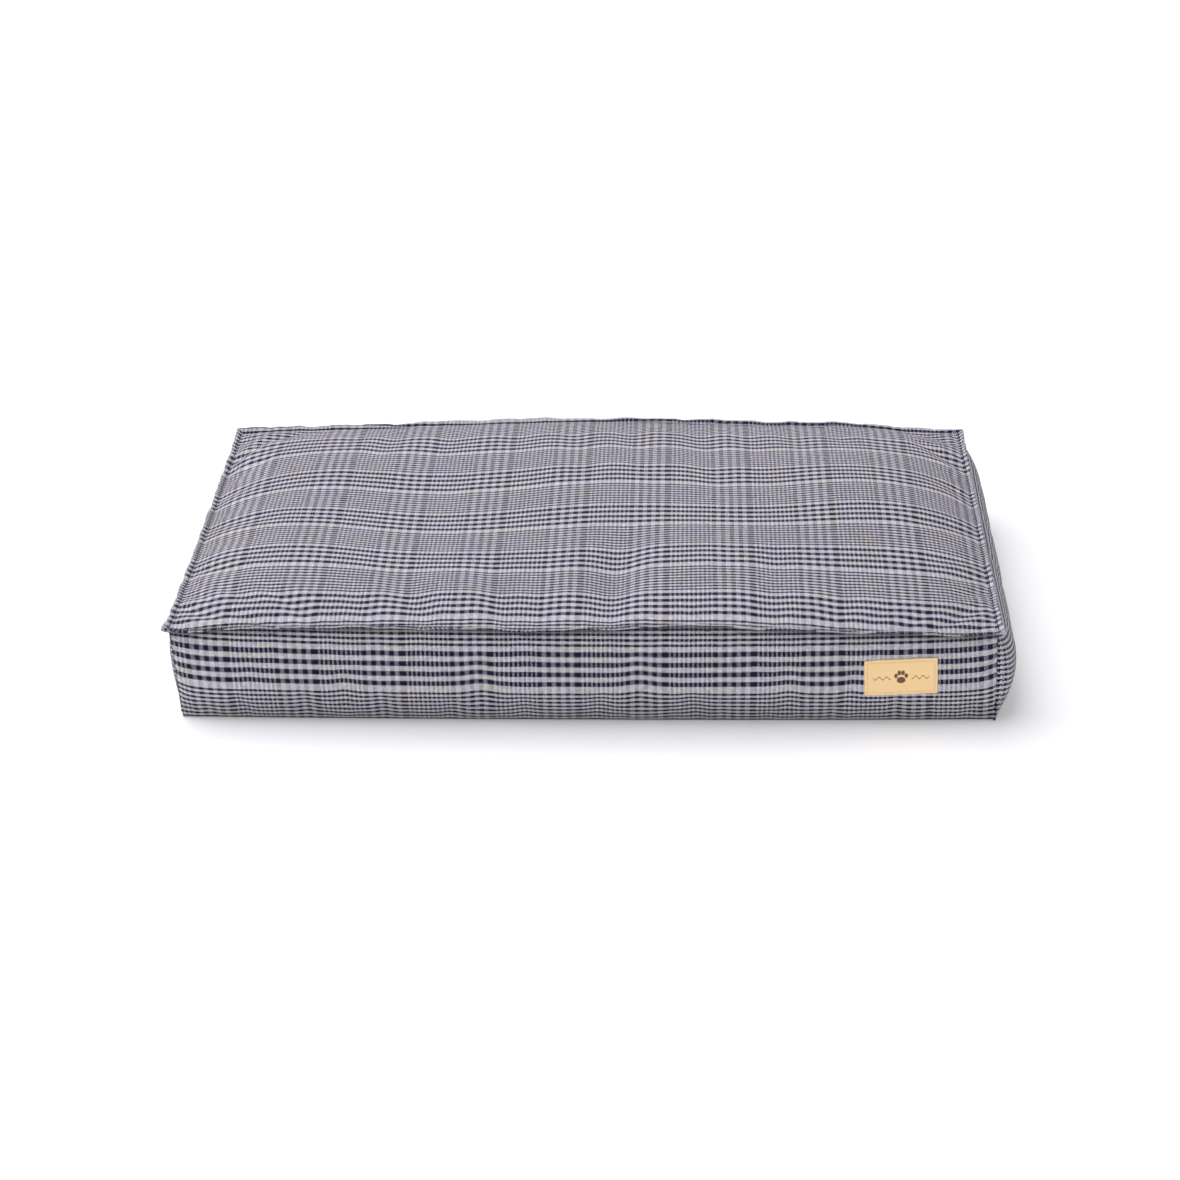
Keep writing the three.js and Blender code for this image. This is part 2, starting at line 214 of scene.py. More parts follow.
class Pattern(Nodes):
    # a Geometry Nodes tree with named inputs, for what repeats

    def __init__(self, name, **kinds):
        self.tree = bpy.data.node_groups.new(name, "GeometryNodeTree")
        self.socket("Geometry", "Geometry", "OUTPUT")
        self.socket("Geometry", "Geometry")
        kinds["Finish"] = "Material"
        self.ids = {label: self.socket(label, kind).identifier for label, kind in kinds.items()}
        self.group = self.tree.nodes.new("NodeGroupInput")

    def socket(self, label, kind, way="INPUT"):
        return self.tree.interface.new_socket(label, in_out=way, socket_type="NodeSocket" + kind)

    def given(self, label):
        return Wire(self, self.group.outputs[label])

    def random(self, low, high, seed):
        inputs = {2: low, 3: high, "Seed": seed}
        return self.node("FunctionNodeRandomValue", {"data_type": "FLOAT"}, inputs, output=1)

    def close(self, geometry):
        whole = self.node("GeometryNodeRealizeInstances", {}, [geometry])
        inputs = {"Geometry": whole, "Material": self.given("Finish")}
        finished = self.node("GeometryNodeSetMaterial", {}, inputs)
        out = self.tree.nodes.new("NodeGroupOutput")
        self.put(out.inputs[0], finished)
        return self

    def grow(self, name, source, **values):
        # the pattern along a source object, as a plain mesh that takes the source's place
        modifier = source.modifiers.new("pattern", "NODES")
        modifier.node_group = self.tree
        for label, value in values.items():
            modifier[self.ids[label]] = value
        view = bpy.context.evaluated_depsgraph_get()
        mesh = bpy.data.meshes.new_from_object(source.evaluated_get(view))
        bpy.data.objects.remove(source)
        mesh.name = name
        mesh.shade_smooth()
        return added(name, mesh)


def rgb(red, green, blue):
    # a colour given as sRGB from 0 to 255
    def linear(value):
        share = value / 255
        return share / 12.92 if share <= 0.04045 else ((share + 0.055) / 1.055) ** 2.4
    return (linear(red), linear(green), linear(blue), 1)


# the woven cloth, yarn by yarn
plaid = {
    "endPitch": 0.001106,  # one warp yarn
    "pickPitch": 0.001337,  # one weft yarn
    "wide": 36,  # yarns in the group of four dark and four light
    "warpRepeat": 76,
    "weftRepeat": 72,
    "warpCentre": -0.025,  # a wide warp group's middle
    "weftCentre": -0.0115,
    "warpCover": 0.26,  # half of the pitch that a warp yarn covers where it is on top
    "weftCover": 0.47,
    "warpLight": rgb(208, 205, 221),
    "warpDark": rgb(28, 27, 38),
    "weftLight": rgb(220, 217, 228),
    "weftWarm": rgb(224, 216, 197),
    "weftDark": rgb(22, 22, 54),
    "paintedShadowReach": 0.0048,  # how far below the seam the painted shadow under the flange reaches, and how dark it is
    "paintedShadowStrength": 0.8,
    "footFrom": 0.066,  # how far below the seam the painted shade on a wall starts, darkening it towards the floor
    "footReach": 0.03,
    "footPaintedShade": 0.22,
    "waver": 0.0011,  # how far the yarns wander
    "waverScale": 14,
    "warmth": 1.7,  # how strongly the warm weft yarns show
    "warmScale": 45,
    "fibreScale": 2600,
    "relief": 0.0003,
}


def isDark(index, wide, repeat, first):
    # 1 on a dark yarn: four and four in the wide group, then two and two
    place = index % repeat
    inWide = place < wide
    wideDark = ((place + first) % 8) < 4
    fineDark = ((place + first) % 4) < 2
    return inWide * wideDark + (1 - inWide) * fineDark


def makePlaid(name, grouped=True):
    shader = Shader(name, Roughness=0.92, Specular_IOR_Level=0.15, Sheen_Weight=0.05,
                    Sheen_Roughness=0.6)
    across, up = shader.uv("cloth")
    below, _ = shader.uv("crease")
    waver = (shader.noise(plaid["waverScale"], detail=1) - 0.5) * plaid["waver"]

    def yarns(place, centre, pitch):
        # which yarn a place is on, and how far beside its middle
        count = (place + waver - (centre - plaid["wide"] / 2 * pitch)) / pitch
        yarn = count.floor()
        return yarn, count - yarn - 0.5

    end, besideEnd = yarns(across, plaid["warpCentre"], plaid["endPitch"])
    pick, besidePick = yarns(up, plaid["weftCentre"], plaid["pickPitch"])
    warpUp = ((end + pick) % 2) < 1
    onWarp = abs(besideEnd) < plaid["warpCover"]
    offWeft = abs(besidePick) > plaid["weftCover"]
    showsWarp = warpUp * onWarp + (1 - warpUp) * offWeft
    endDark = isDark(end, plaid["wide"] * grouped, plaid["warpRepeat"], 0)
    pickDark = isDark(pick, plaid["wide"] * grouped, plaid["weftRepeat"], 4)
    warp = shader.mix(endDark, plaid["warpLight"], plaid["warpDark"])
    warmth = shader.noise(plaid["warmScale"], detail=1) ** 3 * plaid["warmth"]
    light = shader.mix(warmth, plaid["weftLight"], plaid["weftWarm"])
    weft = shader.mix(pickDark, light, plaid["weftDark"])
    cloth = shader.mix(showsWarp, weft, warp)
    crossing = shader.node("ShaderNodeCombineXYZ", {}, [end, pick, showsWarp * 7])
    fleck = shader.node("ShaderNodeTexWhiteNoise", {}, [crossing])
    fibre = shader.noise(plaid["fibreScale"], detail=1)
    warpRise, weftRise = (besideEnd * math.pi).cosine(), (besidePick * math.pi).cosine()
    rise = showsWarp * warpRise + (1 - showsWarp) * weftRise
    # painted shadow: the cloth darkened just below the seam, where the flange shades the wall
    fold = below / plaid["paintedShadowReach"]
    crease = 1 - (fold * fold * -1).exponent() * plaid["paintedShadowStrength"]
    # painted shade: the walls darkened towards the floor, where they are lit less
    foot = ((below - plaid["footFrom"]) / plaid["footReach"]).clamped() * plaid["footPaintedShade"]
    worn = (fleck * 0.56 + 0.73) * (fibre * 0.5 + 0.75)
    # painted shade: rise darkens each yarn towards its edges, where its neighbours shade it; worn
    # holds the yarns' own tone differences
    shade = (rise * 0.26 + 0.62) * worn * crease * (1 - foot)
    shader.set(Base_Color=shader.mix(1.0, cloth, shader.grey(shade), "MULTIPLY"))
    shader.set(Normal=shader.bump(rise + fibre * 0.4, 0.6, plaid["relief"]))
    return shader.material


# the cover's seams and walls, before the flange
cover = {
    "halfLength": 0.394,
    "halfDepth": 0.239,
    "seamHeight": 0.095,
    "columns": 130,
    "rows": 82,
    "crowding": 0.13,  # how much closer the grid's lines are at its ends
    "longBow": 0.012,  # how far a long seam bows out at its middle
    "bowPower": 2.5,
    "shortDraw": -0.001,  # how far a short seam draws in
    "longLift": 0.006,  # how far a long seam rises between the corners
    "shortSag": 0.006,
    "crown": 0.0145,
    "footInset": 0.004,
    "cornerFall": 0.05,
    "bulge": {"front": 0.010, "right": 0.0225, "left": 0.009},
    "cornerPull": 0.005,  # how far the front left corner is pulled out
    "footSpread": 0.006,
    "footLift": 0.02,  # the height over which the cloth's own thickness under the foot is taken up
    "backFlat": 0.0146,  # how far the zip's stretch of the back wall stands out
    "thickness": 0.0012,
    "farBelow": 0.03,  # counts as far from a seam's fold
    "wallHeight": 0.0926,  # the cut height of a wall, seam to seam
    "knee": 0.5756,  # the share of it that stays level, below what follows the seam
    "groupHeight": 0.0667,  # from the foot up to the middle of a wall's wide group
    "zipHeight": 0.0463,
    "mouthHalf": 0.007,
    "mouthReach": 0.325,
}
halfLength, halfDepth = cover["halfLength"], cover["halfDepth"]

# every lump or dip that handling has left on the top, in mm: x, y, rise, spread each way
lumps = [
    (28, -150, -6.5, 20, 65),
    (114, -120, 6.5, 50, 50),
    (-150, 30, -8.5, 60, 75),
    (-197, -205, -5, 22, 30),
    (-47, -205, -4, 30, 30),
    (-124, -200, 3.5, 35, 35),
    (275, 45, 5.5, 55, 70),
    (205, -115, -3, 30, 35),
    (-265, -120, 3, 45, 45),
    (30, 130, 2.5, 70, 50),
    (-300, 120, 2, 40, 50),
    (150, 60, -2.5, 40, 40),
]

# x and how much further the front and the back seam rise there, in mm
seamWander = {
    "front": [(-394, 0), (-320, 4.5), (-190, 5.2), (-110, 4.5), (-54, 2),
              (20, 4), (60, 7.2), (125, 7.8), (190, 4.5), (250, 2),
              (366, -1), (394, 0)],
    "back": [(-394, -1), (-357, 0), (-293, -2), (-230, -2), (-166, -0.3),
             (-100, 1.3), (-40, 2.2), (57, 2), (120, 0.8), (215, 0),
             (280, 1.8), (311, 0), (343, -2), (394, -1)],
}

# a wall's levels as shares of its height
shares = [0, 0.07, 0.14, 0.21, 0.28, 0.352, 0.4244, 0.5, 0.5756, 0.65, 0.72, 0.79, 0.86, 0.93, 1]
crease = len(shares) - 1
zipRows = (4, 10)  # levels that stay flat for the zip
mouthRows = (6, 8)


def stacked(*parts):
    return np.stack(parts, axis=-1)


def crowded(half, count):
    share = np.linspace(-1, 1, count + 1)
    return half * (share + cover["crowding"] * np.sin(np.pi * share))


def eased(x, stops):
    # smooth steps between the stops' values
    places, values = np.array(stops).T / 1000
    after = np.clip(np.searchsorted(places, x, side="right"), 1, len(places) - 1)
    share = np.clip((x - places[after - 1]) / (places[after] - places[after - 1]), 0, 1)
    return values[after - 1] + (values[after] - values[after - 1]) * share ** 2 * (3 - 2 * share)


def bow(u):
    # 1 at the middle of a long seam and 0 at its ends
    return 1 - u ** cover["bowPower"]


def longSeam(x, y):
    # the height that a long seam has above x, and what the top between the two takes from it
    v = y / halfDepth
    front, back = eased(x, seamWander["front"]), eased(x, seamWander["back"])
    lift = cover["longLift"] * bow(np.abs(x) / halfLength)
    return cover["seamHeight"] + lift + np.where(v < 0, front, back) * np.abs(v) ** 3


def spread(points):
    # the front left corner pulled out, the right foot spread, and all off the floor by the cloth
    x, y, z = points.T
    left = np.clip(-x / halfLength, 0, 1) ** 4
    right = np.clip(x / halfLength, 0, 1) ** 6
    front = np.clip(0.5 - y / halfDepth / 2, 0, 1)
    height = np.clip(z / cover["seamHeight"], 0, 1)
    raised = cover["thickness"] * np.clip(1 - z / cover["footLift"], 0, 1)
    pulled = cover["footSpread"] * right * (1 - height) - cover["cornerPull"] * left * front * height
    return points + stacked(pulled, np.zeros(len(points)), raised)


def topShape(x, y):
    u = np.abs(x) / halfLength
    v = np.abs(y) / halfDepth
    wideX = x - np.sign(x) * cover["shortDraw"] * (1 - v ** 2) * u ** 4
    wideY = y + np.sign(y) * cover["longBow"] * bow(u) * v ** 2
    seam = longSeam(x, y) - cover["shortSag"] * (1 - v ** 2) * u ** 6
    crown = cover["crown"] * np.maximum(0, 1 - u ** 7.5) ** 0.6 * (1 - v ** 3.5)
    settled = sum(rise * np.exp(-((x - lumpX) / wide) ** 2 / 2 - ((y - lumpY) / deep) ** 2 / 2)
                  for lumpX, lumpY, rise, wide, deep in np.array(lumps) / 1000)
    settled = settled * (1 - u ** 10) * (1 - v ** 10)
    return stacked(wideX, wideY, seam + crown + settled)


def wallShape(side, along, share):
    # the side's wall, as if it ran along X and faced -Y
    long = side in ("front", "back")
    run = halfLength if long else halfDepth
    reach = halfDepth if long else halfLength
    u = np.abs(along) / run
    if long:
        way = 1 if side == "front" else -1
        seamTop = longSeam(along * way, -reach * way)
        seamOut = cover["longBow"] * bow(u)
    else:
        seamTop = cover["seamHeight"] - cover["shortSag"] * (1 - u ** 2)
        seamOut = -cover["shortDraw"] * (1 - u ** 2)
    footOut = 0.3 * seamOut - cover["footInset"]
    knee = cover["knee"]
    kneeTop = knee * cover["wallHeight"]
    high = kneeTop + (share - knee) / (1 - knee) * (seamTop - kneeTop)
    z = np.where(share <= knee, share * cover["wallHeight"], high)
    fall = np.clip((np.abs(along) - (run - cover["cornerFall"])) / cover["cornerFall"], 0, 1)
    fullness = np.sqrt(np.maximum(0, 1 - fall ** 2))
    if side == "back":
        past = np.clip((np.abs(share - 0.5) - 0.22) / 0.28, 0, 1)
        hold = np.cos(past * np.pi / 2)
        end = np.where(share > 0.5, seamOut, footOut)
        out = hold * (cover["backFlat"] * fullness + (1 - fullness) * end) + (1 - hold) * end
    else:
        swell = np.sin(np.pi * np.clip(share, 0, 1)) ** np.where(share > 0.5, 0.58, 0.75)
        out = footOut + (seamOut - footOut) * share + cover["bulge"][side] * fullness * swell
    return stacked(along, -reach - out, z)


sides = ("front", "right", "back", "left")


def alongOf(side):
    return coverXs if side in ("front", "back") else coverYs


def turned(points, quarters):
    for _ in range(quarters):
        points = stacked(-points[..., 1], points[..., 0], points[..., 2])
    return points


def coverGrid():
    # one closed grid for the whole cover, and where each panel's points are in it
    levels = np.array(shares)
    columns, rows, count = len(coverXs) - 1, len(coverYs) - 1, len(levels) - 1
    points = [topShape(*np.meshgrid(coverXs, coverYs)).reshape(-1, 3)]
    total = (rows + 1) * (columns + 1)
    top = np.arange(total).reshape(rows + 1, columns + 1)
    rims = {"front": top[0], "right": top[:, -1], "back": top[-1, ::-1], "left": top[::-1, 0]}
    walls = {}
    for quarters, side in enumerate(sides):
        alongs = alongOf(side)
        shape = turned(wallShape(side, *np.meshgrid(alongs, levels)), quarters)
        own = shape[:-1, :-1].reshape(-1, 3)  # its last column is the next wall's first
        ids = np.zeros((count + 1, len(alongs)), int)
        ids[:-1, :-1] = total + np.arange(len(own)).reshape(count, -1)
        ids[-1] = rims[side]
        points.append(own)
        total += len(own)
        walls[side] = ids
    for number, side in enumerate(sides):
        walls[side][:-1, -1] = walls[sides[(number + 1) % 4]][:-1, 0]
    placed = np.vstack(points)
    base = np.zeros((rows + 1, columns + 1), int)
    base[0] = walls["front"][0]
    base[:, -1] = walls["right"][0]
    base[-1, ::-1] = walls["back"][0]
    base[::-1, 0] = walls["left"][0]
    share = np.linspace(0, 1, rows + 1)[1:-1, None]
    share = share[..., None]
    inner = placed[base[0, 1:-1]][None] * (1 - share) + placed[base[-1, 1:-1]][None] * share
    base[1:-1, 1:-1] = total + np.arange(inner.shape[0] * inner.shape[1]).reshape(inner.shape[:2])
    return spread(np.vstack([placed, inner.reshape(-1, 3)])), top, base, walls


def gridFaces(grid, flip=False):
    a, b, c, d = grid[:-1, :-1], grid[:-1, 1:], grid[1:, 1:], grid[1:, :-1]
    return (stacked(a, d, c, b) if flip else stacked(a, b, c, d)).reshape(-1, 4)


def coverFaces(top, base, walls):
    sides = [gridFaces(wall) for wall in walls.values()]
    return np.vstack([gridFaces(top), gridFaces(base, True)] + sides)


def meshObject(name, points, faces, material=None):
    mesh = bpy.data.meshes.new(name)
    mesh.from_pydata(np.asarray(points).tolist(), [], np.asarray(faces).tolist())
    mesh.update()
    if material is not None:
        mesh.materials.append(material)
    mesh.shade_smooth()
    return added(name, mesh)


inflate = {
    "frames": 20,
    "cap": 0.006,  # the furthest that a point may move
    "broad": 6,  # grid cells over which swelling counts as slow
    "cloth": {
        "quality": 5,
        "mass": 0.25,
        "tension_stiffness": 12,
        "compression_stiffness": 12,
        "shear_stiffness": 4,
        "bending_stiffness": 6.0,
        "air_damping": 4,
        "use_pressure": True,
        "uniform_pressure_force": 4.0,
        "shrink_min": -0.008,  # how much larger the cloth is than the shape that it starts from
        "vertex_group_mass": "held",
    },
}


def broadPart(step, along, across=None):
    # the slow part of the swelling, which the designed shape already has; it fades at the seams
    far = 3 * inflate["broad"]
    reach = np.arange(-far, far + 1)
    kernel = np.exp(-(reach / inflate["broad"]) ** 2 / 2)
    kernel /= kernel.sum()

    def run(axis, values, places):
        smooth = np.apply_along_axis(np.convolve, axis, values, kernel, mode="same")
        return smooth * np.expand_dims(1 - np.abs(places / places[-1]) ** 10, (1 - axis, 2))

    broad = run(1, step, along)
    return broad if across is None else run(0, broad, across)


def inflated(points, top, base, walls):
    # pressure fills the cover while its seams, its base and the zip's stretch of wall stay put
    bag = meshObject("bag", points, coverFaces(top, base, walls))
    held = [base, top[[0, -1]], top[:, [0, -1]], walls["back"][zipRows[0]:zipRows[1] + 1]]
    held += [wall[:, [0, -1]] for wall in walls.values()]
    held = np.unique(np.concatenate([ids.ravel() for ids in held]))
    bag.vertex_groups.new(name="held").add(held.tolist(), 1.0, "REPLACE")
    cloth = bag.modifiers.new("cloth", "CLOTH")
    for key, value in inflate["cloth"].items():
        setattr(cloth.settings, key, value)
    cloth.settings.effector_weights.gravity = 0
    cloth.collision_settings.use_collision = False
    cloth.collision_settings.use_self_collision = False
    cloth.point_cache.frame_start = 1
    cloth.point_cache.frame_end = inflate["frames"]
    for number in range(1, inflate["frames"] + 1):
        scene.frame_set(number)
    shaped = bag.evaluated_get(bpy.context.evaluated_depsgraph_get())
    moved = np.zeros(len(points) * 3)
    shaped.data.vertices.foreach_get("co", moved)
    bpy.data.objects.remove(bag)
    scene.frame_set(1)
    step = moved.reshape(-1, 3) - points
    step[top] -= broadPart(step[top], coverXs, coverYs)
    for side, wall in walls.items():
        step[wall] -= broadPart(step[wall], alongOf(side))
    length = np.linalg.norm(step, axis=1, keepdims=True)
    print("wrinkles of", round(float(length[top].mean()), 5), "m on the top")
    return points + step * np.minimum(1, inflate["cap"] / np.maximum(length, 1e-9))


# the two plies of cloth that stand out along the top seam
flange = {
    "width": 0.007,
    "rings": 3,
    "frontTilt": 28,  # degrees above level at the front, and at the back
    "backTilt": 36,
    "ruffle": 0.0011,
    "ear": 0.0005,  # how much further its corners stand up, and over what distance
    "earReach": 0.018,
    "earWidth": 0.2,  # how much wider it is at its corners
    "earWidthReach": 0.014,
    "uneven": 0.12,
}


def ruffle(x, y):
    long = np.sin(61 * x + 47 * y + 0.7) + 0.8 * np.sin(137 * x - 96 * y + 2.1)
    short = 0.6 * np.sin(311 * x + 271 * y + 1.3) + 0.45 * np.sin(523 * x - 487 * y + 4.2)
    return (long + short) / 2


def flangeTilt(y):
    share = np.clip(y / halfDepth / 2 + 0.5, 0, 1)
    return np.radians(flange["frontTilt"] + (flange["backTilt"] - flange["frontTilt"]) * share)


def flangePoint(seam, stepX, stepY):
    # seam points moved out by whole rings along X and Y
    width = flange["width"] / flange["rings"]
    tilt = flangeTilt(seam[..., 1])
    rings = np.maximum(np.abs(stepX), np.abs(stepY))
    x, y, z = seam[..., 0], seam[..., 1], seam[..., 2]
    corner = np.hypot(np.abs(x) - halfLength, np.abs(y) - halfDepth)
    wave = ruffle(x, y) * flange["ruffle"] * rings / flange["rings"]
    ear = flange["ear"] * np.exp(-corner / flange["earReach"]) * rings / flange["rings"]
    wider = flange["earWidth"] * np.exp(-corner / flange["earWidthReach"])
    uneven = 1 + flange["uneven"] * ruffle(y * 2.3, x * 2.9) + wider
    level = width * np.cos(tilt)
    z = z + rings * width * np.sin(tilt) * uneven + wave + ear
    return stacked(x + stepX * level * uneven, y + stepY * level * uneven, z)


def withFlange(side, wall):
    # a wall's points with the flange's lower ply above them
    outX, outY = {"front": (0, -1), "right": (1, 0), "back": (0, 1), "left": (-1, 0)}[side]
    mitre = np.zeros(len(wall[-1]))
    mitre[0], mitre[-1] = -1, 1
    rings = [flangePoint(wall[-1], ring * (outX - outY * mitre), ring * (outY + outX * mitre))
             for ring in range(1, flange["rings"] + 1)]
    return np.concatenate([wall, np.stack(rings)])


def topWithFlange(top):
    rings = flange["rings"]
    padded = np.pad(top, ((rings, rings), (rings, rings), (0, 0)), mode="edge")

    def steps(count):
        places = np.arange(count)
        return np.clip(places - rings, None, 0) + np.clip(places - (count - 1 - rings), 0, None)
    stepX, stepY = np.meshgrid(steps(padded.shape[1]), steps(padded.shape[0]))
    moved = flangePoint(padded, stepX, stepY)
    outside = ((stepX != 0) | (stepY != 0))[..., None]
    return np.where(outside, moved, padded)


def stretchFlat(values, rings=flange["rings"]):
    # flat coordinates of a grid's lines with the flange's rings outside them
    step = flange["width"] / rings
    before = values[0] - step * np.arange(rings, 0, -1)
    after = values[-1] + step * np.arange(1, rings + 1)
    return np.concatenate([before, values, after])


def putUv(thing, name, first, second):
    # two values for each point
    layer = thing.data.uv_layers.new(name=name)
    loops = np.zeros(len(thing.data.loops), int)
    thing.data.loops.foreach_get("vertex_index", loops)
    both = stacked(first.ravel(), second.ravel())
    layer.data.foreach_set("uv", both[loops].astype(np.float32).ravel())


def gridObject(name, grid, material, flip=False):
    index = np.arange(grid[..., 0].size).reshape(grid.shape[:2])
    return meshObject(name, grid.reshape(-1, 3), gridFaces(index, flip), material)


def thicken(thing, thickness, offset):
    thick = thing.modifiers.new("cloth", "SOLIDIFY")
    thick.thickness = thickness
    thick.offset = offset
    return thick


def fitted(piece, slot, *nodes, flat=None, fill=None):
    # a finished piece rides on the cover in place of its nodes
    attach(piece, "cover")
    if nodes:
        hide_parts(*nodes)
    return piece


def panelSheet(name, grid, flat, material, flip=False, below=None):
    # flat is where the grid's points are on the cut cloth, below how far they are from the seam
    thing = gridObject(name, grid, material, flip)
    if below is None:
        below = np.full(grid.shape[:2], cover["farBelow"])
    putUv(thing, "cloth", flat[..., 0], flat[..., 1])
    putUv(thing, "crease", below, np.zeros(below.shape))
    smooth = thing.modifiers.new("smooth", "SUBSURF")
    smooth.levels = smooth.render_levels = 1
    smooth.boundary_smooth = "PRESERVE_CORNERS"
    thicken(thing, cover["thickness"], -1 if flip else 1).use_even_offset = False
    return thing


def snapped(values, targets):
    values = values.copy()
    for target in targets:
        values[np.argmin(np.abs(values - target))] = target
    return values


drift = {
    "back": 0.020,  # how far the weft drifts towards the middle at the ends, behind and in front
    "front": 0.008,
    "placesX": (-0.36, -0.27, -0.18, -0.09, 0.0, 0.09, 0.18, 0.27, 0.36),
    "placesY": (-0.2, -0.1, 0.0, 0.1, 0.2),
    "spreadX": 0.07,
    "spreadY": 0.075,
    # how many millimetres the weft lies forward of straight about each place, a row for every Y
    "forward": (
        (6.3, -0.4, -1.8, -4.4, -5.9, 3.9, -2.7, 3.9, 8.2),
        (-5.8, -4.1, 9.7, 7.9, 5.1, 2.6, 1.0, -3.1, 5.9),
        (2.6, -2.3, 9.5, 2.5, -1.1, 1.9, 6.2, -1.9, -5.7),
        (9.6, -5.1, 5.8, 0.0, -3.8, -0.9, 2.1, -5.7, -3.3),
        (2.1, -0.8, 6.0, 5.9, 4.5, 2.3, 4.8, 2.3, 7.9),
    ),
}


def topFlat(x, y):
    # the weft drifts towards the front at both ends of the panel
    u = np.clip(np.abs(x) / halfLength, 0, 1)
    v = np.clip(y / halfDepth, -1, 1)
    pull = np.where(v > 0, drift["back"], drift["front"]) * np.sin(np.pi * v) * u ** 7
    for placeY, row in zip(drift["placesY"], drift["forward"]):
        for placeX, forward in zip(drift["placesX"], row):
            near = ((x - placeX) / drift["spreadX"]) ** 2 + ((y - placeY) / drift["spreadY"]) ** 2
            pull = pull + forward / 1000 * np.exp(-near / 2)
    return stacked(x, y + pull)


mouthReach = cover["mouthReach"]
coverXs = snapped(crowded(halfLength, cover["columns"]), (-mouthReach, mouthReach))
coverYs = crowded(halfDepth, cover["rows"])
clothFinish = makePlaid("plaid_cloth")
sideFinish = makePlaid("plaid_side", grouped=False)
points, topIds, baseIds, wallIds = coverGrid()
designed = points
print("cover grid of", len(points), "points")
points = inflated(points, topIds, baseIds, wallIds)

flatXs, flatYs = stretchFlat(coverXs), stretchFlat(coverYs)
topGrid = topWithFlange(points[topIds])
topSheet = panelSheet("top_cloth", topGrid, topFlat(*np.meshgrid(flatXs, flatYs)), clothFinish)
fitted(topSheet, "plaid_cloth", "top_panel", flat=(0.802, 0.492))


def wallFlat(side):
    # the cut cloth of a wall: its length along the seam, and its height over the designed shape
    alongs = alongOf(side)
    steps = np.linalg.norm(np.diff(designed[wallIds[side]], axis=0), axis=-1)
    rings = np.full((flange["rings"], len(alongs)), flange["width"] / flange["rings"])
    ups = np.cumsum(np.concatenate([np.zeros((1, len(alongs))), steps, rings]), axis=0)
    ups = ups - cover["groupHeight"] + plaid["weftCentre"]
    return stacked(np.broadcast_to(alongs, ups.shape), ups)


wallRows = {side: withFlange(side, points[ids]) for side, ids in wallIds.items()}
wallSheets = {}


whole = slice(None)
mouthFrom = int(np.argmin(np.abs(coverXs + mouthReach)))
mouthTo = len(coverXs) - 1 - mouthFrom
middle, rightEnd, leftEnd = slice(mouthFrom, mouthTo + 1), slice(mouthFrom + 1), slice(mouthTo, None)
# each panel's side, levels, columns, node and cut size
walls = {
    "front_cloth": ("front", whole, whole, "front_band", (0.8, 0.112)),
    "right_cloth": ("right", whole, whole, "right_band", (0.478, 0.109)),
    "left_cloth": ("left", whole, whole, "left_band", (0.478, 0.105)),
    "back_cloth_lower": ("back", slice(mouthRows[0] + 1), middle, "back_strip_lower", (0.65, 0.042)),
    "back_cloth_upper": ("back", slice(mouthRows[1], 99), middle, "back_strip_upper", (0.65, 0.055)),
    "back_cloth_right": ("back", whole, rightEnd, "back_end_right", (0.073, 0.112)),
    "back_cloth_left": ("back", whole, leftEnd, "back_end_left", (0.073, 0.112)),
}
for name, (side, rows, columns, node, cut) in walls.items():
    wholeFlat = wallFlat(side)
    flat = wholeFlat[rows, columns]
    below = np.abs(flat[..., 1] - wholeFlat[crease, columns, 1])
    finish = clothFinish if side in ("front", "back") else sideFinish
    sheet = panelSheet(name, wallRows[side][rows, columns], flat, finish, below=below)
    wallSheets[name] = fitted(sheet, "plaid_cloth", node, flat=cut)
print("cover panels made")


def makeSpeckled(name, low, high, scale, depth, stretch=None, **constants):
    # a finish that wanders between two colours, with a matching relief
    shader = Shader(name, **constants)
    grain = shader.noise(scale, detail=3, stretch=stretch)
    slow = shader.noise(scale / 25, detail=1)
    stops = {"stops": [(0.3, low), (0.7, high)]}
    shade = shader.node("ShaderNodeValToRGB", stops, [grain * 0.75 + slow * 0.25])
    shader.set(Base_Color=shade, Normal=shader.bump(grain, 0.7, depth))
    return shader.material


baseCloth = {
    "dotPitch": 0.008,
    "dotRadius": 0.0014,
    "threadPitch": 0.0006,
    "cloth": rgb(66, 67, 78),
    "clothDark": rgb(46, 47, 56),
    "dot": rgb(28, 28, 33),
}


def makeBaseFinish():
    # close dark canvas with rows of moulded grip dots
    shader = Shader("base_cloth", Specular_IOR_Level=0.3)
    x, y, _ = shader.axes()
    row = (y / baseCloth["dotPitch"]).floor()
    besideX = ((x / baseCloth["dotPitch"] + row * 0.5) % 1 - 0.5) * baseCloth["dotPitch"]
    besideY = ((y / baseCloth["dotPitch"]) % 1 - 0.5) * baseCloth["dotPitch"]
    away = (besideX * besideX + besideY * besideY) ** 0.5
    dot = away < baseCloth["dotRadius"]
    dome = (1 - away / baseCloth["dotRadius"]) * dot
    weave = math.pi / baseCloth["threadPitch"]
    canvas = (x * weave).cosine() * (y * weave).cosine() * 0.5 + 0.5
    fibre = shader.noise(900)
    cloth = shader.mix(canvas * 0.6 + fibre * 0.4, baseCloth["clothDark"], baseCloth["cloth"])
    shader.set(Base_Color=shader.mix(dot, cloth, baseCloth["dot"]), Roughness=0.95 - dot * 0.45)
    shader.set(Normal=shader.bump(dome * 3 + canvas * (1 - dot) * 0.5, 0.8, 0.0004))
    return shader.material


baseFlat = np.stack(np.meshgrid(coverXs, coverYs), axis=-1)
baseSheet = panelSheet("base_cloth", points[baseIds], baseFlat, makeBaseFinish(), flip=True)
fitted(baseSheet, "base_cloth", "base_panel", flat=(0.788, 0.478))


# the case and the fibre, in from the cover
pad = {
    "caseInset": 0.0055,
    "fillInset": 0.0085,
    "widest": 0.402,
    "cornerRound": 0.022,  # the share by which its lower corners draw in, and up to what height
    "cornerHeight": 0.045,
}


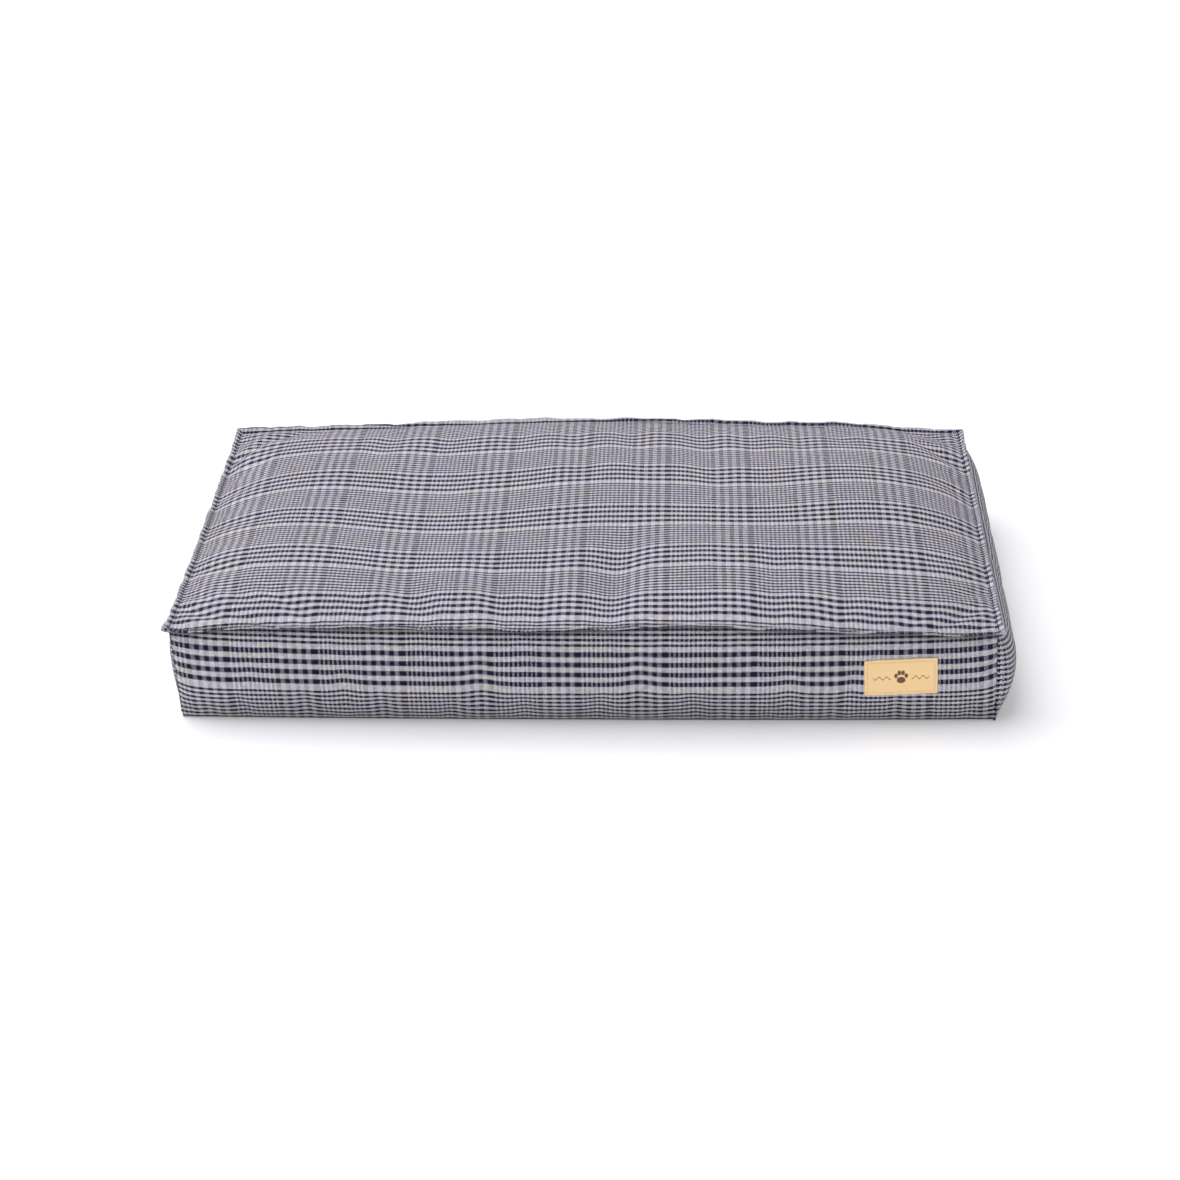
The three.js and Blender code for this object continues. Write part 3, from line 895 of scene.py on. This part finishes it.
def insetBag(name, inset, material):
    bag = meshObject(name, points, coverFaces(topIds, baseIds, wallIds), material)
    normals = np.zeros(len(points) * 3)
    bag.data.vertices.foreach_get("normal", normals)
    inner = points - normals.reshape(-1, 3) * inset
    low = np.clip(1 - inner[:, 2] / pad["cornerHeight"], 0, 1)
    u, v = inner[:, 0] / halfLength, inner[:, 1] / halfDepth
    corner = np.abs(u) ** 8 * np.abs(v) ** 8
    inner[:, :2] *= (1 - pad["cornerRound"] * np.minimum(corner, 1) * low)[:, None]
    inner[:, 2] = np.maximum(inner[:, 2], inset)
    inner[:, 0] = np.clip(inner[:, 0], inset - pad["widest"], pad["widest"] - inset)
    bag.data.vertices.foreach_set("co", inner.astype(np.float32).ravel())
    bag.data.update()
    return bag


caseFinish = makeSpeckled("case_cloth", rgb(222, 220, 212), rgb(244, 243, 238), 700, 0.0002,
                          Roughness=0.9)
fibreFinish = makeSpeckled("fibre", rgb(228, 227, 223), rgb(250, 249, 247), 160, 0.002,
                           Roughness=0.95)
padNodes = ["pad_case_" + side for side in ("top", "base", "front", "back", "left", "right")]
fitted(insetBag("pad_case", pad["caseInset"], caseFinish), "case_cloth", *padNodes, fill=0.85)
fitted(insetBag("fibre_pad", pad["fillInset"], fibreFinish), "fibre", "fibre_fill", fill=0.8)
print("pad made")


def laidOn(thing, points, outward, rise=0.0, start=0.006):
    # points brought onto a thing, each along its own outward direction
    surface = BVHTree.FromObject(thing, bpy.context.evaluated_depsgraph_get())
    laid = []
    for point, out in zip(points, outward):
        out = Vector(out).normalized()
        hit = surface.ray_cast(Vector(point) + out * start, -out, start + 0.02)[0]
        laid.append((hit if hit is not None else Vector(point)) + out * rise)
    return laid


def lineObject(name, points, closed=False, outward=None):
    count = len(points)
    edges = [(index, index + 1) for index in range(count - 1)] + ([(count - 1, 0)] if closed else [])
    mesh = bpy.data.meshes.new(name)
    mesh.from_pydata([tuple(point) for point in points], edges, [])
    if outward is not None:
        given = mesh.attributes.new("outward", "FLOAT_VECTOR", "POINT")
        given.data.foreach_set("vector", np.asarray(outward, dtype=np.float32).ravel())
    return added(name, mesh)


def alongLine(pattern, shape, direction, share):
    # a shape at even steps along the given line, turned to a direction, its length times a share
    line = pattern.node("GeometryNodeMeshToCurve", {}, {"Mesh": pattern.given("Geometry")})
    inputs = {"Curve": line, "Length": pattern.given("Spacing")}
    spaced = pattern.node("GeometryNodeResampleCurve", {"mode": "LENGTH"}, inputs)
    turn = pattern.node("FunctionNodeAlignRotationToVector", {"axis": "Z"}, {"Vector": direction})
    width = pattern.given("Width")
    size = pattern.node("ShaderNodeCombineXYZ", {}, [width, width, pattern.given("Length") * share])
    inputs = {"Points": spaced, "Instance": shape, "Rotation": turn, "Scale": size}
    return pattern.close(pattern.node("GeometryNodeInstanceOnPoints", {}, inputs))


def makeStitchPattern():
    # oval stitches laid end to end
    pattern = Pattern("stitches", Spacing="Float", Length="Float", Width="Float", Seed="Int")
    oval = pattern.node("GeometryNodeMeshUVSphere", {}, {"Segments": 6, "Rings": 5, "Radius": 0.5})
    tangent = pattern.node("GeometryNodeInputTangent")
    return alongLine(pattern, oval, tangent, pattern.random(0.86, 1.12, pattern.given("Seed")))


def makeFrayPattern():
    # loose yarn ends along a raw edge
    pattern = Pattern("fray", Spacing="Float", Length="Float", Width="Float", Spread="Float",
                      Seed="Int")
    inputs = {"Vertices": 3, "Side Segments": 1, "Radius Top": 0.1, "Radius Bottom": 0.5}
    inputs["Depth"] = 1
    hair = pattern.node("GeometryNodeMeshCone", {}, inputs)
    seed, spread = pattern.given("Seed"), pattern.given("Spread")
    settings = {"data_type": "FLOAT_VECTOR"}
    out = pattern.node("GeometryNodeInputNamedAttribute", settings, {"Name": "outward"})
    astray = [pattern.random(-1.0, 1.0, seed + axis) * spread for axis in range(3)]
    astray = pattern.node("ShaderNodeCombineXYZ", {}, astray)
    lean = pattern.node("ShaderNodeVectorMath", {"operation": "ADD"}, [out, astray])
    return alongLine(pattern, hair, lean, pattern.random(0.25, 1.0, seed + 7))


# spacing, length and width of each kind, in metres
stitches = {
    "flange": {"Spacing": 0.0038, "Length": 0.0036, "Width": 0.0010},
    "corner": {"Spacing": 0.0042, "Length": 0.0034, "Width": 0.0009},
    "mouth": {"Spacing": 0.0034, "Length": 0.0028, "Width": 0.0008},
    "label": {"Spacing": 0.0026, "Length": 0.0020, "Width": 0.0006},
    "fray": {"Spacing": 0.0007, "Length": 0.0026, "Width": 0.0003, "Spread": 0.8},
}
stitchPattern = makeStitchPattern()
frayPattern = makeFrayPattern()
threadFinish = makeSpeckled("navy_thread", rgb(24, 24, 40), rgb(52, 53, 78), 1800, 0.0001,
                            Roughness=0.7)
frayFinish = makeSpeckled("yarn_ends", rgb(58, 58, 76), rgb(214, 211, 216), 420, 0.0001,
                          Roughness=0.95)


def ringOf(grid, ring):
    # one closed ring of an extended grid, from its front left corner
    last = -1 - ring
    front = grid[ring, ring:grid.shape[1] - ring]
    right = grid[ring:grid.shape[0] - ring, last]
    back = grid[last, ring:grid.shape[1] - ring][::-1]
    left = grid[ring:grid.shape[0] - ring, ring][::-1]
    return np.concatenate([front[:-1], right[:-1], back[:-1], left[:-1]])


def joined(name, parts, slot, *nodes):
    # one piece from several grown meshes
    mesh = bmesh.new()
    for part in parts:
        mesh.from_mesh(part.data)
    data = bpy.data.meshes.new(name)
    mesh.to_mesh(data)
    mesh.free()
    for material in parts[0].data.materials:
        data.materials.append(material)
    data.shade_smooth()
    for part in parts:
        bpy.data.objects.remove(part)
    return fitted(added(name, data), slot, *nodes)


def stitched(name, points, kind, seed, closed=False, finish=None):
    return stitchPattern.grow(name, lineObject(name + "_line", points, closed), Seed=seed,
                              Finish=finish or threadFinish, **stitches[kind])


def facing(ring, way):
    # directions at a flange's points: up off its top, down off its underside, or out past its edge
    onEnd = np.abs(ring[:, 0]) / halfLength > np.abs(ring[:, 1]) / halfDepth
    outX = np.where(onEnd, np.sign(ring[:, 0]), 0.0)
    outY = np.where(onEnd, 0.0, np.sign(ring[:, 1]))
    tilt = flangeTilt(ring[:, 1])
    sine, cosine = np.sin(tilt), np.cos(tilt)
    level, rise = {"up": (-sine, cosine), "down": (sine, -cosine), "out": (cosine, sine)}[way]
    return stacked(outX * level, outY * level, rise)


upperLine = ringOf(topGrid, 2)
thread = 0.0001  # how far a stitch stands off its cloth
laid = laidOn(topSheet, upperLine, facing(upperLine, "up"), thread)
flangeParts = [stitched("upper", laid, "flange", 3, closed=True)]
for name in ("front_cloth", "right_cloth", "left_cloth", "back_cloth_upper", "back_cloth_right",
             "back_cloth_left"):
    side, _, columns, _, _ = walls[name]
    row = wallRows[side][crease, columns]
    laid = laidOn(wallSheets[name], row, facing(row, "down"), thread)
    flangeParts.append(stitched("lower_" + name, laid, "flange", 6 if side == "back" else 5))
joined("flange_stitches", flangeParts, "navy_thread", "flange_thread")

cornerParts = []
for side in sides:
    line = wallRows[side][1:len(shares), 0]
    away = stacked(np.sign(line[:, 0]), np.sign(line[:, 1]), np.zeros(len(line)))
    cornerParts.append(stitched("corner_" + side, line + away * 0.0009, "corner", 9))
joined("corner_stitches", cornerParts, "navy_thread")

edgeLine = ringOf(topGrid, 0)
source = lineObject("edge_line", edgeLine + np.array([0, 0, 0.0004]), True, facing(edgeLine, "out"))
frayed = frayPattern.grow("flange_fray", source, Seed=11, Finish=frayFinish, **stitches["fray"])
fitted(frayed, "plaid_cloth")
print("stitches made")


# the sewn label on the front
label = {
    "centre": (0.303, 0.0553),
    "size": (0.070, 0.038),
    "tilt": 2.0,
    "thickness": 0.0008,
    "columns": 28,
    "rows": 16,
    "inset": 0.0028,  # from its edge to its row of stitches
    "borderSteps": 24,
    "before": -0.262,  # in front of the whole wall
    "ground": rgb(255, 222, 168),
    "groundDark": rgb(250, 212, 154),
    "mark": rgb(92, 58, 40),
}


def onLabel(a, b):
    # where a place on the label is across and up the front
    turn = math.radians(label["tilt"])
    x = label["centre"][0] + a * math.cos(turn) - b * math.sin(turn)
    return x, label["centre"][1] + a * math.sin(turn) + b * math.cos(turn)


def onFront(thing, x, z):
    # where x and z meet a thing from in front
    flat = stacked(x.ravel(), np.full(x.size, label["before"]), z.ravel())
    return laidOn(thing, flat, np.tile([0, -1, 0], (x.size, 1)), start=0.03)


def makeLabelFinish():
    # fine satin with a paw print between two wavy lines
    shader = Shader("label_cloth", Roughness=0.72, Specular_IOR_Level=0.35, Sheen_Weight=0.1)
    a, b = shader.uv("label")
    ribs = (a * (math.pi / 0.00035)).cosine() * 0.5 + 0.5
    weft = (b * (math.pi / 0.0005)).cosine() * 0.5 + 0.5
    fibre = shader.noise(1500)
    ground = shader.mix(ribs * weft * 0.5 + fibre * 0.5, label["groundDark"], label["ground"])
    toes = [(-4.8, 2, 1.7, 2.4), (-1.7, 5, 1.8, 2.6), (1.9, 5, 1.8, 2.6), (5, 2, 1.7, 2.4),
            (0, -2.6, 4.2, 3.4)]
    paw = 0
    for centreA, centreB, halfA, halfB in toes:
        offA, offB = (a - centreA / 1000) / (halfA / 1000), (b - centreB / 1000) / (halfB / 1000)
        paw = paw + ((offA * offA + offB * offB) < 1)
    wave = abs(b - (a * 900).cosine() * 0.0016) < 0.00045
    reach = abs(a)
    wavy = wave * (reach > 0.010) * (reach < 0.027)
    worn = shader.noise(500) * 0.35 + 0.75
    shown = shader.mix((paw + wavy) * worn, ground, label["mark"])
    height = ribs * 0.5 + weft * 0.5 + fibre * 0.3
    shader.set(Base_Color=shown, Normal=shader.bump(height, 0.5, 0.0001))
    return shader.material


halfA, halfB = label["size"][0] / 2, label["size"][1] / 2
labelA, labelB = np.meshgrid(np.linspace(-halfA, halfA, label["columns"] + 1),
                             np.linspace(-halfB, halfB, label["rows"] + 1))
laid = onFront(wallSheets["front_cloth"], *onLabel(labelA, labelB))
onWall = np.array([tuple(point) for point in laid]).reshape(labelA.shape + (3,))
stiff = onWall[..., 1].mean(axis=1, keepdims=True) * 0.5 + onWall[..., 1] * 0.5
onWall[..., 1] = np.minimum(stiff, onWall[..., 1]) - 0.0003
patch = gridObject("label", onWall, makeLabelFinish())
putUv(patch, "label", labelA, labelB)
thicken(patch, label["thickness"], 1)
rounded = patch.modifiers.new("edge", "BEVEL")
rounded.width = 0.0002
rounded.segments = 2
rounded.limit_method = "ANGLE"
fitted(patch, "label_cloth", "label_patch", flat=label["size"])

halfA, halfB = halfA - label["inset"], halfB - label["inset"]
corners = np.array([(-halfA, -halfB), (halfA, -halfB), (halfA, halfB), (-halfA, halfB)])
steps = np.linspace(0, 1, label["borderSteps"])[:-1]
border = np.array([start + (end - start) * share
                   for start, end in zip(corners, np.roll(corners, -1, axis=0)) for share in steps])
labelThread = makeSpeckled("label_thread", rgb(186, 150, 98), rgb(224, 190, 136), 1500, 0.0001,
                           Roughness=0.7)
laid = onFront(patch, *onLabel(border[:, 0], border[:, 1]))
fitted(stitched("label_stitches", laid, "label", 4, closed=True, finish=labelThread),
       "label_thread", "label_thread")
print("label made")


# the zip in the back wall
zipSet = {
    "coilPitch": 0.0016,
    "coilWire": 0.00036,
    "mouthStitch": 0.0042,  # from the mouth's edge to its row of stitches
    "mouthEnd": 0.003,  # the same at its ends
    "behind": 0.256,  # behind the whole wall
    "tapeColumns": 200,
    "tapeRows": 8,
}


def makeTapeFinish():
    # herringbone tape, dark navy
    shader = Shader("zip_tape", Roughness=0.85, Specular_IOR_Level=0.3)
    x, _, z = shader.axes()
    band = ((z / 0.0024) % 1) < 0.5
    slope = (band * 2 - 1) * (z % 0.0024)
    ribs = ((x + slope) * (math.pi * 2 / 0.0009)).cosine() * 0.5 + 0.5
    fibre = shader.noise(1400)
    shade = shader.mix(ribs * 0.6 + fibre * 0.4, rgb(30, 31, 42), rgb(62, 64, 84))
    shader.set(Base_Color=shade, Normal=shader.bump(ribs + fibre * 0.4, 0.6, 0.00015))
    return shader.material


def makeMetalFinish():
    # nickel plate, drawn along its length and rubbed dull where it is handled
    shader = Shader("zip_metal", Metallic=1.0)
    drawn = shader.noise(900, detail=3, stretch=(0.08, 1, 1))
    rubbed = shader.noise(240)
    shade = shader.mix(drawn * 0.6 + rubbed * 0.4, rgb(150, 152, 158), rgb(206, 207, 212))
    shader.set(Base_Color=shade, Roughness=0.24 + drawn * 0.16 + rubbed * 0.12)
    shader.set(Normal=shader.bump(drawn, 0.35, 0.0001))
    return shader.material


tapeFinish = makeTapeFinish()
for row in ("upper", "lower"):
    low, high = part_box("zip_tape_" + row)
    xs = np.linspace(low.x, high.x, zipSet["tapeColumns"] + 1)
    zs = np.linspace(low.z, high.z, zipSet["tapeRows"] + 1)
    x, z = np.meshgrid(xs, zs)
    grid = stacked(x, np.full(x.shape, (low.y + high.y) / 2), z)
    tape = gridObject("tape_" + row, grid, tapeFinish, True)
    thicken(tape, high.y - low.y, 0)
    fitted(tape, "zip_tape", "zip_tape_" + row, flat=(high.x - low.x, high.z - low.z))


def coilLoop(name, up):
    # one turn of nylon coil as a bent tube of four sides
    path = [(-0.4, 0, -2.6), (-0.3, 0.62, -2.2), (-0.1, 0.64, -0.6), (0, 0.5, 0.2), (0, 0, 0.6),
            (0.1, -0.5, 0.2), (0.2, -0.64, -0.6), (0.6, -0.62, -2.2), (1.2, 0, -2.6)]
    path = [Vector((x / 1000, y / 1000, z / 1000 * up)) for x, y, z in path]
    points, faces = [], []
    for index, here in enumerate(path):
        ahead = (path[min(index + 1, len(path) - 1)] - path[max(index - 1, 0)]).normalized()
        side = ahead.cross(Vector((1, 0, 0))).normalized()
        other = ahead.cross(side).normalized()
        for step in range(4):
            angle = step * math.pi / 2
            round = side * math.cos(angle) + other * math.sin(angle)
            points.append(here + round * zipSet["coilWire"])
    last = len(path) * 4 - 4
    for first in range(0, last, 4):
        for step in range(4):
            after = first + (step + 1) % 4
            faces.append((first + step, after, after + 4, first + step + 4))
    faces += [(3, 2, 1, 0), tuple(range(last, last + 4))]
    thing = meshObject(name, points, faces)
    mesh = bmesh.new()
    mesh.from_mesh(thing.data)
    bmesh.ops.recalc_face_normals(mesh, faces=mesh.faces)
    mesh.to_mesh(thing.data)
    mesh.free()
    return thing


def makeCoilPattern():
    pattern = Pattern("coil", Loop="Object", Count="Int", Pitch="Float")
    step = pattern.node("ShaderNodeCombineXYZ", {}, [pattern.given("Pitch"), 0.0, 0.0])
    inputs = {"Count": pattern.given("Count"), "Offset": step}
    line = pattern.node("GeometryNodeMeshLine", {}, inputs)
    loop = pattern.node("GeometryNodeObjectInfo", {}, {"Object": pattern.given("Loop")}, output=4)
    made = pattern.node("GeometryNodeInstanceOnPoints", {}, {"Points": line, "Instance": loop})
    return pattern.close(made)


coilFinish = makeSpeckled("zip_coil", rgb(26, 27, 36), rgb(48, 50, 66), 900, 0.00005, Roughness=0.42)
coilPattern = makeCoilPattern()
for row, up, shift in (("upper", -1, 0.5), ("lower", 1, 0.0)):
    low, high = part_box("zip_coil_" + row)
    loop = coilLoop("loop_" + row, up)
    pitch = zipSet["coilPitch"]
    count = int((high.x - low.x) / pitch) - 1
    source = lineObject("coil_line", [(0, 0, 0), (0.001, 0, 0)])
    coil = coilPattern.grow("coil_" + row, source, Loop=loop, Count=count, Pitch=pitch,
                            Finish=coilFinish)
    bpy.data.objects.remove(loop)
    place = (low.x + pitch * (0.5 + shift), (low.y + high.y) / 2, cover["zipHeight"])
    coil.data.transform(Matrix.Translation(place))
    fitted(coil, "zip_coil", "zip_coil_" + row)

metalFinish = makeMetalFinish()
for node in ("zip_stop_upper", "zip_stop_lower", "zip_bottom_stop", "zip_slider_body", "zip_pull"):
    materials = frame["nodes"][node].data.materials
    materials.clear()
    materials.append(metalFinish)

zipHeight, endX = cover["zipHeight"], mouthReach + zipSet["mouthEnd"]
offset = cover["mouthHalf"] + zipSet["mouthStitch"]
mouthXs = np.linspace(-mouthReach + 0.002, mouthReach - 0.002, 160)
mouthZs = np.linspace(zipHeight - offset, zipHeight + offset, 12)
runs = {
    "back_cloth_lower": [(x, zipHeight - offset) for x in mouthXs],
    "back_cloth_upper": [(x, zipHeight + offset) for x in mouthXs],
    "back_cloth_right": [(endX, z) for z in mouthZs],
    "back_cloth_left": [(-endX, z) for z in mouthZs],
}
mouthParts = []
for number, (name, line) in enumerate(runs.items()):
    flat = [(x, zipSet["behind"], z) for x, z in line]
    laid = laidOn(wallSheets[name], flat, [(0, 1, 0)] * len(flat), start=0.02)
    mouthParts.append(stitched("mouth_" + name, laid, "mouth", 20 + number))
joined("zip_stitches", mouthParts, "navy_thread")
print("zip made")


def addStage(half=9):
    # a pale floor that glows with painted light: faintly near the cushion, which lifts its shadow,
    # and full white further out
    corners = [(-half, -half, 0), (half, -half, 0), (half, half, 0), (-half, half, 0)]
    floor = meshObject("floor", corners, [(0, 1, 2, 3)])
    shader = Shader("glowing_floor_paper", Roughness=0.9, Base_Color=rgb(246, 246, 246), Emission_Strength=1)
    x, y, _ = shader.axes()
    away = (x * x + y * y) ** 0.5 / half
    # painted light: the floor's glow, weak near the middle and full white far away
    glow = [(0.09, (0.2, 0.2, 0.2, 1)), (0.4, (1, 1, 1, 1))]
    shader.set(Emission_Color=shader.node("ShaderNodeValToRGB", {"stops": glow}, [away]))
    floor.data.materials.append(shader.material)
    world = bpy.data.worlds.new("studio")
    scene.world = world
    world.use_nodes = True
    sky = Nodes()
    sky.tree = world.node_tree
    place = sky.node("ShaderNodeTexCoord")
    height = sky.node("ShaderNodeSeparateXYZ", {}, [place], output=2)
    stops = [(0.0, (1, 1, 1, 1)), (0.12, (0.9, 0.9, 0.9, 1)), (0.35, (0.36, 0.36, 0.37, 1)),
             (1.0, (0.3, 0.3, 0.31, 1))]
    shade = sky.node("ShaderNodeValToRGB", {"stops": stops}, [height])
    sky.put(world.node_tree.nodes["Background"].inputs["Color"], shade)


def addLight(name, place, aim, size, power):
    data = bpy.data.lights.new(name, "AREA")
    data.shape = "RECTANGLE"
    data.size, data.size_y = size
    data.energy = power
    lamp = added(name, data)
    lamp.location = place
    lamp.rotation_euler = (Vector(aim) - Vector(place)).to_track_quat("-Z", "Y").to_euler()
    return data


addStage()
overhead = addLight("overhead", (-1.5, 0.9, 3.9), (0, 0.3, 0), (4.6, 4.6), 209)
overhead.color = (0.96, 0.955, 1.0)
addLight("front", (-1.0, -3.4, 1.5), (0, 0, 0.05), (4.0, 1.6), 13)
scene.view_settings.view_transform = "Standard"
